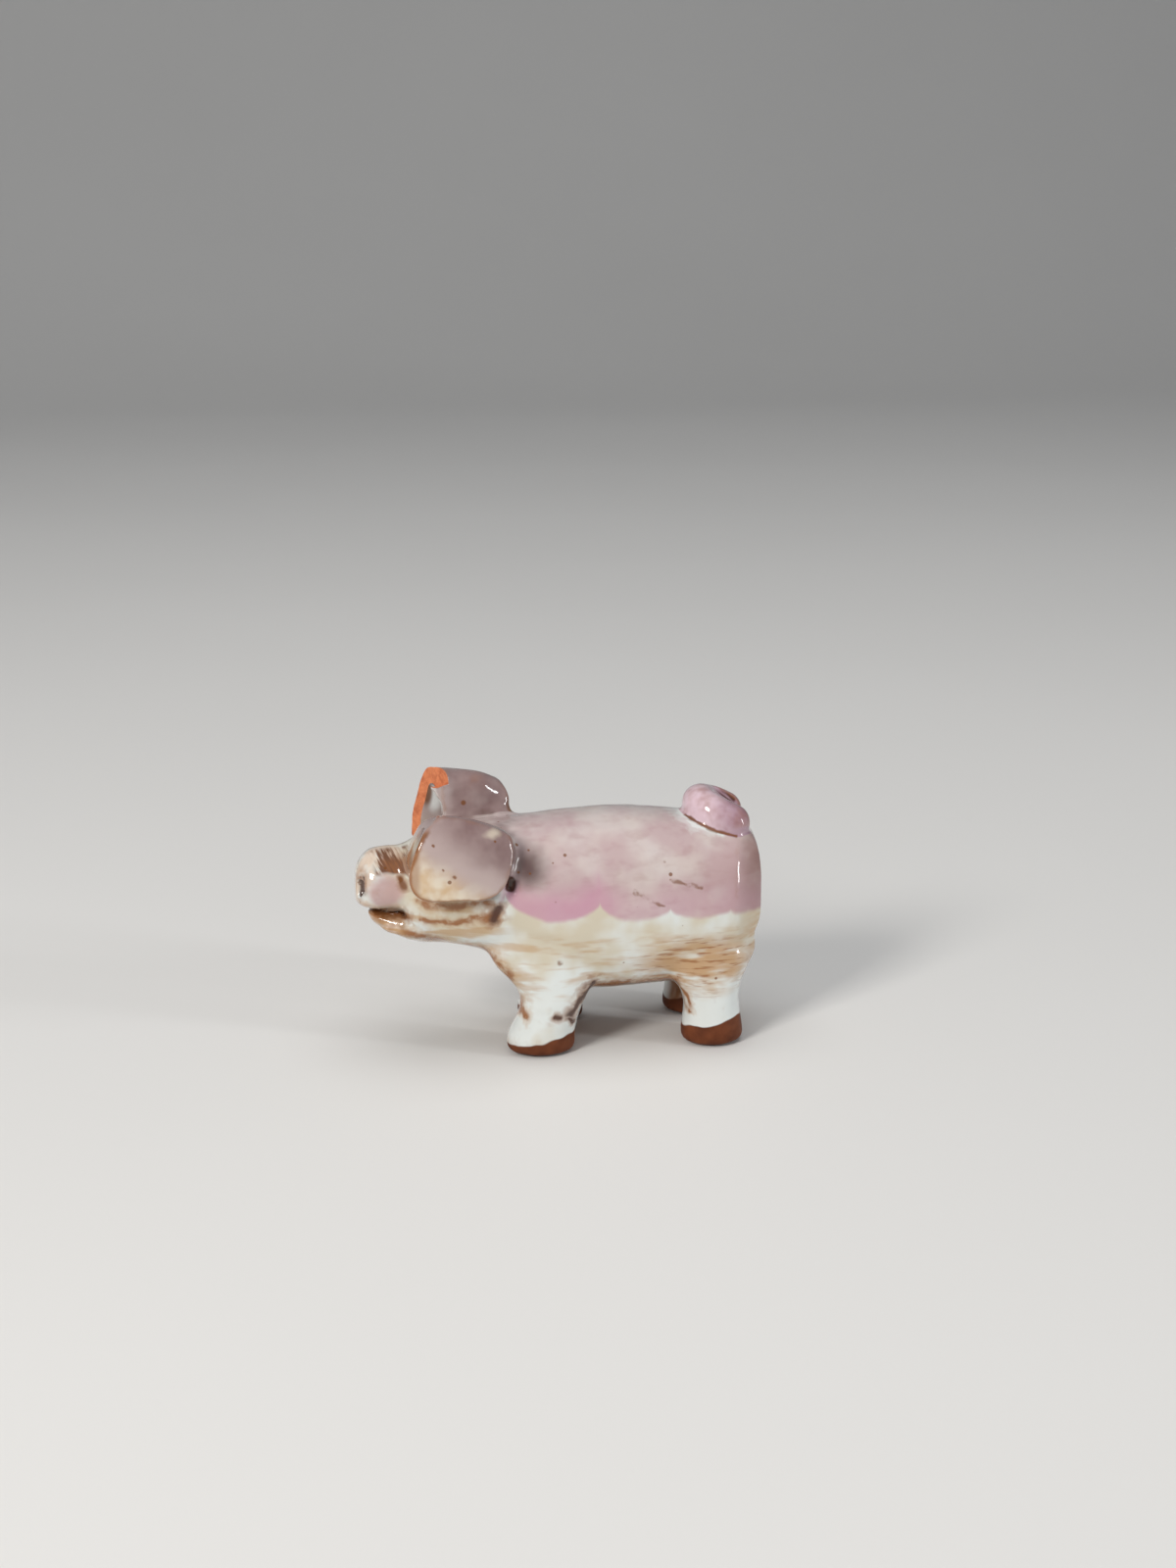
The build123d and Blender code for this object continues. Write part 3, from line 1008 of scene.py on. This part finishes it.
def mauve_wash_group():
    """Mauve overglaze brushed over the back, its lower edge in rounded scallops, with painted shade on
    the rump's rear face.
    """
    paint, given, result = new_group("mauve_wash", {"Point": "Vector", "Wander": "Vector"},
                                     {"Mask": "Float", "Color": "Color"})
    point = given["Point"]
    x, _, z = paint.split(paint.scaled(paint.vector("ADD", point, given["Wander"]), 0.5))
    along = paint.add(x, -SCALLOP_FIRST)
    turn = paint.times(along, paint.level(along, 1.0, SCALLOP_CLOSER), math.pi / SCALLOP_PITCH)
    lobe = paint.math("POWER", paint.math("ABSOLUTE", paint.math("SINE", turn)), SCALLOP_ROUND)
    rise = paint.times(paint.less(1.0, lobe), paint.level(along, SCALLOP_RISE, -SCALLOP_FLATTER))
    above = paint.less(z, paint.add(paint.level(along, SCALLOP_LOW, -SCALLOP_DROP), rise))
    mask = paint.times(paint.ramp(above, *SCALLOP_EDGE), paint.ramp(x, *WASH_FRONT))
    cloud = paint.noise(point, 8.0, 3.0)
    tone = paint.lay(MAUVE_PALE, MAUVE, paint.ramp(cloud, 0.36, 0.60))
    tone = paint.lay(tone, MAUVE_WARM, paint.streaks(point, (3.0, 3.0, 1.4), 0.45, 0.75), 0.4)
    tone = paint.lay(tone, MAUVE_WARM, paint.ramp(x, *WASH_WARMS), paint.ramp(z, *WASH_COOLS), 0.8)
    # Painted shade in clouds on the rump's rear face behind the ridge, over the wash's darker tone
    shade = paint.level(paint.ramp(cloud, 0.30, 0.65), 0.30, 0.45)
    tone = paint.lay(tone, RUMP_PAINTED_SHADE, paint.ramp(x, *SHADE_FADE_ON_RUMP), shade)
    pinker = paint.level(paint.ramp(x, *PINK_FIRST), 0.3, 0.65)
    tone = paint.lay(tone, PINK, paint.ramp(above, *PINK_EDGE), pinker)
    strength = paint.level(cloud, 0.70, 0.45)
    paint.link(paint.math("MULTIPLY", mask, strength, clamp=True), result["Mask"])
    paint.link(tone, result["Color"])
    return paint.tree


def oxide_group():
    """Brown oxide: pooled in creases, thin on edges, wiped in streaks, dry-brushed on the haunch and in
    pinholes; also painted shade on the inner sides of the legs.
    """
    paint, given, result = new_group(
        "oxide", {"Point": "Vector", "Wander": "Vector", "Relief": "Float"},
        {"Pooled": "Float", "Thin": "Float", "Streaks": "Float", "DryBrushAndShade": "Float", "Pinholes": "Float"})
    point, wander, relief = given["Point"], given["Wander"], given["Relief"]
    grain = paint.times(paint.add(paint.noise(point, 1.6, 3.0), -0.5), 0.16)
    broken = paint.noise(point, 3.2, 3.0)
    under_tail = paint.times(paint.spot(point, TAIL_FOOT, 0.2), 0.11)
    sunk = paint.add(relief, paint.times(paint.add(broken, -0.5), 0.10), under_tail)
    mirrored = paint.vector("MULTIPLY", paint.vector("ABSOLUTE", wander), (0, -1, 0))
    place = paint.vector("ADD", paint.vector("MULTIPLY", wander, (1, 0, 1)), mirrored)
    haunch = paint.times(paint.spot(place, HAUNCH, 0.45),
                         paint.streaks(point, (7.0, 7.0, 1.7), 0.32, 0.56))
    dry = paint.times(paint.spot(place, HAUNCH, 0.5), 0.8,
                      paint.streaks(point, (3.2, 3.2, 0.45), 0.54, 0.70))
    rump = paint.times(paint.spot(place, RUMP, 0.5), 0.8,
                       paint.streaks(point, (6.0, 6.0, 1.6), 0.34, 0.62))
    cheek = paint.times(paint.spot(place, CHEEK, 0.4), 0.7,
                        paint.streaks(point, (9.0, 6.0, 1.5), 0.50, 0.66))
    height = paint.split(wander)[2]
    flank = paint.times(paint.ramp(height, *FLANK_TOP), paint.ramp(height, *FLANK_FOOT), 0.6,
                        paint.streaks(point, (6.0, 6.0, 1.3), 0.45, 0.68))
    uneven = paint.add(height, paint.times(broken, 3.0))
    across = paint.math("ABSOLUTE", paint.split(point)[1])
    belly = paint.times(paint.ramp(uneven, *BELLY_LOW), paint.ramp(across, *BELLY_ACROSS))
    # Painted shade: brown on the inner sides of the legs, low down and near the middle
    inner = paint.times(paint.ramp(across, *INNER_LEG_SHADE_ACROSS), paint.ramp(uneven, *INNER_LEG_SHADE_LOW), 0.85)
    cells = paint.node("TexVoronoi", {"Vector": point, "Scale": 0.55}).outputs
    choice, size, _ = paint.split(cells["Color"])
    gap = paint.less(cells["Distance"], paint.times(size, 0.16))
    masks = {
        "Pooled": paint.ramp(sunk, -0.06, -0.22),
        "Thin": paint.ramp(paint.add(relief, grain), 0.06, 0.18),
        "Streaks": paint.most(haunch, rump, cheek, flank, belly),
        "DryBrushAndShade": paint.most(dry, inner),
        "Pinholes": paint.times(paint.ramp(choice, 0.90, 0.91), paint.ramp(gap, 0.07, 0.0)),
    }
    for name, value in masks.items():
        paint.link(value, result[name])
    return paint.tree


def bare_feet_group():
    """Feet wiped bare of glaze before firing, with an uneven line."""
    paint, given, result = new_group("bare_feet", {"Point": "Vector"},
                                     {"Mask": "Float", "Color": "Color"})
    point = given["Point"]
    x, _, z = paint.split(point)
    rear = paint.ramp(x, *BETWEEN_FEET)
    foot_x = paint.level(rear, FRONT_FOOT_X, REAR_FOOT_X - FRONT_FOOT_X)
    line = paint.level(rear, BARE_FRONT_LINE, BARE_REAR_LINE - BARE_FRONT_LINE)
    line = paint.add(line, paint.times(paint.less(x, foot_x), BARE_RISE))
    line = paint.add(line, paint.times(paint.add(paint.noise(point, 4.5, 1.5), -0.5), BARE_WAVE))
    paint.link(paint.ramp(paint.less(z, line), *BARE_EDGE), result["Mask"])
    paint.link(paint.lay(BARE_DARK, BARE_CLAY, paint.noise(point, 2.2, 4.0)), result["Color"])
    return paint.tree


def glaze_skin_group():
    """Fine unevenness of a fired glaze, and gloss that varies a little."""
    paint, given, result = new_group(
        "glaze_skin", {"Point": "Vector", "Bare": "Float", "Pinholes": "Float"},
        {"Roughness": "Float", "Coat": "Float", "Height": "Float"})
    point, bare = given["Point"], given["Bare"]
    waves = paint.times(paint.noise(point, 2.6), 0.10)
    peel = paint.times(paint.noise(point, 0.55), 0.012)
    grit = paint.times(paint.noise(point, 0.22, 3.0), bare, 0.03)
    height = paint.add(paint.less(paint.add(waves, peel), paint.times(given["Pinholes"], 0.05)), grit)
    gloss = paint.level(paint.noise(point, 5.0, 3.0), 0.14, 0.14)
    paint.link(paint.level(bare, gloss, 0.34), result["Roughness"])
    paint.link(paint.less(1.0, bare), result["Coat"])
    paint.link(height, result["Height"])
    return paint.tree


class Finish(Paint):
    """Paints a material, with its Principled surface and its coordinates in millimetres."""

    def __init__(self, name, effects):
        self.material = bpy.data.materials.new(name)
        self.material.use_nodes = True
        super().__init__(self.material.node_tree)
        self.surface = self.tree.nodes["Principled BSDF"].inputs
        self.effects = effects
        coordinates = self.node("TexCoord", {}).outputs["Object"]
        place = self.effect(effects["wander"], Point=coordinates)
        self.point = place["Point"]
        self.wander = place["Wander"]

    def strokes(self, point, marks):
        """Several strokes of one brush, each with its core and its halo."""
        laid = []
        runs = [run for path in marks for run in zip(path, path[1:])]
        for (start_x, start_z, width), (end_x, end_z, *_) in runs:
            laid.append(self.effect(self.effects["stroke"], Point=point, Start=(start_x, 0, start_z),
                                    End=(end_x, 0, end_z), Width=width))
        return laid

    def cores(self, laid):
        return self.most(*[stroke["Core"] for stroke in laid])

    def halos(self, laid):
        return self.most(*[stroke["Halo"] for stroke in laid])

    def bump(self, height, strength, distance):
        node = self.node("Bump", {"Height": height, "Strength": strength, "Distance": distance})
        self.link(node.outputs[0], self.surface["Normal"])


class Glaze(Finish):
    """Paints a clear-coated glaze with brown oxide."""

    def __init__(self, name, effects):
        super().__init__(name, effects)
        relief = self.node("Attribute", {}, attribute_name="relief").outputs["Fac"]
        self.oxide = self.effect(effects["oxide"], Point=self.point, Wander=self.wander, Relief=relief)
        self.surface["Specular IOR Level"].default_value = 0.12
        self.surface["Coat Weight"].default_value = 1.0
        self.surface["Coat Roughness"].default_value = 0.03
        self.surface["Coat IOR"].default_value = 1.5

    def coat(self, tone, *masks):
        """Lays another tone over the colour so far."""
        self.colour = self.lay(self.colour, tone, *masks)

    def fire(self, bare=None, thin=0.5):
        """Lays the oxide over the colour, joins it and the skin to the surface, gives the material."""
        self.coat(ORANGE_BROWN, self.oxide["Thin"], thin)
        self.coat(DARK_BROWN, self.oxide["Pooled"], 0.92)
        self.coat(TAN_DEEP, self.oxide["Pinholes"], 0.8)
        inputs = {"Point": self.point, "Pinholes": self.oxide["Pinholes"]}
        if bare:
            self.coat(bare["Color"], bare["Mask"])
            inputs["Bare"] = bare["Mask"]
        skin = self.effect(self.effects["skin"], **inputs)
        self.link(self.colour, self.surface["Base Color"])
        self.link(skin["Roughness"], self.surface["Roughness"])
        if bare:
            self.link(skin["Coat"], self.surface["Coat Weight"])
        self.bump(skin["Height"], 0.35, 1 * MM)
        return self.material


def white_tone(glaze):
    """Creamy white glaze, thicker and cooler in places and towards the feet."""
    thicker = glaze.ramp(glaze.split(glaze.point)[2], *WHITE_THICKER)
    thick = glaze.add(glaze.noise(glaze.point, 7.0, 2.5), glaze.times(thicker, 0.2))
    return glaze.lay(CREAM, WHITE, glaze.ramp(thick, 0.38, 0.66))


def crown_wash(glaze, colour):
    """Clouds of grey mauve over the top of the head and the roots of the ears."""
    x, _, z = glaze.split(glaze.wander)
    tone = glaze.lay(EAR_GREY, MAUVE_PALE, glaze.ramp(glaze.noise(glaze.point, 4.0), 0.25, 0.75))
    return glaze.lay(colour, tone, glaze.ramp(z, *CROWN_RISE), glaze.ramp(x, *CROWN_FRONT),
                     glaze.ramp(x, *CROWN_BACK), 0.92)


def crack_paint(glaze):
    """The thin brown crack under the near side of the tail."""
    side = glaze.ramp(glaze.split(glaze.point)[1], *CRACK_SIDE)
    crack = glaze.cores(glaze.strokes(glaze.point, TAIL_CRACK))
    glaze.coat(TAN_DEEP, crack, side, 0.9)


def face_paint(glaze):
    """Cream snout with a brown patch on each upper side over a pink one, a tan jaw and a brown mouth."""
    x, y, z = glaze.split(glaze.point)
    wander_x, _, wander_z = glaze.split(glaze.wander)
    cream = glaze.ramp(glaze.noise(glaze.point, 3.0, 3.0), 0.62, 0.42)
    glaze.coat(SNOUT_CREAM, glaze.ramp(x, *SNOUT_FADE), cream, 0.8)
    ahead = glaze.ramp(x, *SNOUT_EDGE)
    pink = glaze.spot(glaze.vector("ABSOLUTE", glaze.wander), SNOUT_PINK, 0.35)
    glaze.coat(ROSE, pink, ahead, 0.85)
    wiped = glaze.streaks(glaze.point, (4.0, 4.0, 0.7), 0.42, 0.60)
    glaze.coat(TAN, glaze.spot(glaze.wander, JAW), wiped, 0.75)
    lean = glaze.node("CombineXYZ", {0: glaze.times(z, 0.6)}).outputs[0]
    bristles = glaze.streaks(glaze.vector("ADD", glaze.point, lean), (0.5, 4.0, 2.6), 0.36, 0.62)
    gaps = glaze.times(glaze.ramp(wander_z, *PATCH_TOP), glaze.less(1.0, bristles), 0.85)
    ragged = glaze.add(wander_x, glaze.times(bristles, 1.2))
    brown = glaze.times(glaze.ramp(wander_z, *PATCH_LOW), glaze.ramp(ragged, *PATCH_FRONT), ahead,
                        glaze.ramp(glaze.math("ABSOLUTE", y), *PATCH_ACROSS), glaze.less(1.0, gaps))
    tone = glaze.lay(PATCH_BROWN, DARK_BROWN, bristles, 0.6)
    glaze.coat(tone, brown, 0.93)
    stain = glaze.spot(glaze.vector("ABSOLUTE", glaze.point), NOSTRIL_STAIN, 0.35)
    glaze.coat(TAN_DEEP, stain, ahead, 0.75)
    freckles = glaze.ramp(glaze.noise(glaze.point, 0.9), 0.56, 0.66)
    glaze.coat(TAN_DEEP, glaze.spot(glaze.point, NOSE, 0.4), freckles, 0.7)
    mouth = glaze.strokes(glaze.wander, MOUTH_STROKES)
    glaze.coat(ORANGE_BROWN, glaze.halos(mouth), 0.5)
    glaze.coat(TAN_DEEP, glaze.cores(mouth), 0.95)


def body_glaze(effects):
    """White glaze under the mauve wash, with brown brush marks, a painted face, bare feet, and painted
    shade on the inner sides of the legs and in the pit behind the ear.
    """
    glaze = Glaze("body_glaze", effects)
    wash = glaze.effect(effects["wash"], Point=glaze.point, Wander=glaze.wander)
    bare = glaze.effect(effects["feet"], Point=glaze.point)
    patchy = glaze.ramp(glaze.noise(glaze.point, 1.6, 3.0), 0.30, 0.55)
    near = glaze.ramp(glaze.split(glaze.wander)[1], *NEAR_SIDE)
    glaze.colour = glaze.lay(white_tone(glaze), TAN, glaze.oxide["Streaks"], 0.85)
    # Dry-brushed brown on the haunch, and painted shade on the inner sides of the legs
    glaze.coat(ORANGE_BROWN, glaze.oxide["DryBrushAndShade"])
    glaze.coat(wash["Color"], wash["Mask"])
    glaze.colour = crown_wash(glaze, glaze.colour)
    light = glaze.strokes(glaze.wander, WHITE_STROKES)
    light = glaze.most(glaze.cores(light), glaze.times(glaze.halos(light), 0.5))
    glaze.coat(WHITE, light, 0.9)
    # A darker grey-brown patch on the neck behind the left ear
    glaze.coat(GREY_BROWN, glaze.spot(glaze.wander, NECK_DARK_PATCH, 0.9), 0.92)
    crack_paint(glaze)
    load = glaze.level(near, 0.3, 0.7)
    # Tan strokes; the one under the left ear's rim is partly a painted shadow of the rim
    tan = glaze.strokes(glaze.wander, TAN_STROKES)
    glaze.coat(TAN, glaze.halos(tan), load, 0.4)
    glaze.coat(ORANGE_BROWN, glaze.cores(tan), load, glaze.level(patchy, 0.3, 0.65))
    scratches = glaze.cores(glaze.strokes(glaze.wander, SCRATCHES))
    glaze.coat(TAN_DEEP, scratches, patchy, near, 0.7)
    dark = glaze.strokes(glaze.wander, DARK_STROKES)
    glaze.coat(ORANGE_BROWN, glaze.halos(dark), near, 0.6)
    glaze.coat(DARK_BROWN, glaze.cores(dark), near, 0.95)
    face_paint(glaze)
    # Painted shade: near black in the pit behind the left ear
    glaze.coat(SHADE_BLACK, glaze.spot(glaze.point, PIT_SHADE), 0.95)
    return glaze.fire(bare)


def ear_glaze(effects):
    """Grey mauve on top of the ears, cream and tan towards the front corner, a few brown marks, and
    painted light and shade inside the right ear.
    """
    glaze = Glaze("ear_glaze", effects)
    x, y, z = glaze.split(glaze.wander)
    climb = glaze.add(z, glaze.times(x, EAR_SLANT), EAR_FADE)
    cloud = glaze.noise(glaze.point, 3.5, 2.5)
    glaze.colour = glaze.lay(EAR_CREAM, TAN_PALE, glaze.ramp(cloud, 0.42, 0.66))
    glaze.coat(EAR_MAUVE, glaze.ramp(climb, *EAR_TO_MAUVE))
    cloudy = glaze.add(0.45, glaze.noise(glaze.point, 3.0))
    glaze.coat(EAR_GREY, glaze.ramp(climb, *EAR_TO_GREY), cloudy, 0.85)
    glaze.coat(EAR_CREAM, glaze.spot(glaze.wander, EAR_LIGHT, 0.7), 0.6)
    glaze.coat(MAUVE_PALE, glaze.spot(glaze.wander, EAR_EDGE, 0.6), 0.6)
    # Inside the right ear: white glaze, painted brighter than the white elsewhere as painted light
    glaze.coat(EAR_LIT_WHITE, glaze.spot(glaze.wander, EAR_INSIDE, 0.25), 0.9)
    # Painted shade deep in the right ear's hollow, next to the broken strip
    glaze.coat(TAN_DEEP, glaze.spot(glaze.point, EAR_CAVITY_SHADE, 0.4), 0.9)
    crown = crown_wash(glaze, white_tone(glaze))
    across = glaze.math("ABSOLUTE", y)
    glaze.coat(crown, glaze.ramp(z, *EAR_ROOT_LOW), glaze.ramp(across, *EAR_ROOT_ACROSS))
    crease = glaze.times(glaze.spot(glaze.wander, EAR_CREASE, 0.5), 0.8)
    rim = glaze.times(glaze.spot(glaze.wander, EAR_RIM, 0.6), 0.6)
    glaze.coat(ORANGE_BROWN, glaze.most(crease, rim))
    marks = glaze.cores(glaze.strokes(glaze.point, EAR_STROKES))
    marks = glaze.times(marks, glaze.ramp(y, *EAR_OUTSIDE))
    marks = glaze.most(marks, glaze.spot(glaze.point, EAR_SPOT), glaze.spot(glaze.wander, EAR_STAIN))
    glaze.coat(TAN_DEEP, marks, 0.85)
    # Painted shade: near black in the pit behind the left ear
    glaze.coat(SHADE_BLACK, glaze.spot(glaze.point, PIT_SHADE), 0.95)
    return glaze.fire(thin=glaze.level(glaze.ramp(climb, *EAR_EDGE_THIN), 0.25, 0.6))


def tail_glaze(effects):
    """Thin pink over white, purple towards the tip, with painted shade in the slot."""
    glaze = Glaze("tail_glaze", effects)
    x, y, _ = glaze.split(glaze.wander)
    cloud = glaze.noise(glaze.point, 3.0, 2.5)
    glaze.colour = glaze.lay(TAIL_PALE, TAIL_PINK, glaze.ramp(cloud, 0.42, 0.70))
    tip = glaze.times(glaze.ramp(x, *TAIL_TIP), glaze.level(cloud, 0.40, 0.9))
    glaze.coat(TAIL_PURPLE, glaze.math("MULTIPLY", tip, 0.9, clamp=True))
    # Painted shade: dark brown in the tail's slot
    gap = glaze.cores(glaze.strokes(glaze.point, TAIL_SLOT_SHADE))
    glaze.coat(DARK_BROWN, gap, glaze.ramp(y, *TAIL_SLOT_SHADE_FROM), glaze.ramp(y, *TAIL_SLOT_SHADE_TO), 0.9)
    crack_paint(glaze)
    return glaze.fire()


def broken_clay(effects):
    """Bare fired clay where the ear is chipped: matt orange with fine grit."""
    clay = Finish("broken_clay", effects)
    coarse = clay.noise(clay.point, 1.4, 4.0, 0.65)
    fine = clay.noise(clay.point, 0.3, 3.0, 0.7)
    colour = clay.lay(BREAK_DEEP, BREAK_ORANGE, clay.ramp(coarse, 0.3, 0.7))
    clay.link(colour, clay.surface["Base Color"])
    clay.link(clay.level(fine, 0.72, 0.2), clay.surface["Roughness"])
    clay.bump(clay.add(coarse, clay.times(fine, 0.4)), 0.6, 0.25 * MM)
    return clay.material


def floor_material():
    """Plain pale paper."""
    material = bpy.data.materials.new("pale_floor")
    material.use_nodes = True
    paint = Paint(material.node_tree)
    surface = material.node_tree.nodes["Principled BSDF"].inputs
    cloud = paint.noise(paint.node("TexCoord", {}).outputs["Object"], 0.2)
    paint.link(paint.lay(PAPER, PAPER_PALE, cloud), surface["Base Color"])
    surface["Roughness"].default_value = 0.6
    return material


# Pieces

make_camera()
make_floor()
light_room()
effects = {"wander": brush_wander_group(), "stroke": brush_stroke_group(), "wash": mauve_wash_group(),
           "oxide": oxide_group(), "feet": bare_feet_group(), "skin": glaze_skin_group()}
body = body_glaze(effects)
ears = ear_glaze(effects)
finish = {"left_ear": ears, "right_ear": ears, "tail": tail_glaze(effects)}

clay = make_clay()
relief = relief_of(clay)
tree = point_finder(clay)
pieces = part_clay(clay)
for node in NODES:
    piece = pieces[node]
    piece.data.materials.clear()
    piece.data.materials.append(finish.get(node, body))
    if node == "right_ear":
        break_ear(piece, broken_clay(effects))
    keep_relief(piece, tree, relief)
    if node == "left_ear":
        pull(piece, *LEFT_LOBE)
    only(piece)
    bpy.ops.object.shade_smooth_by_angle(angle=SMOOTH_ANGLE)
    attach(piece, "root")
    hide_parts(node)
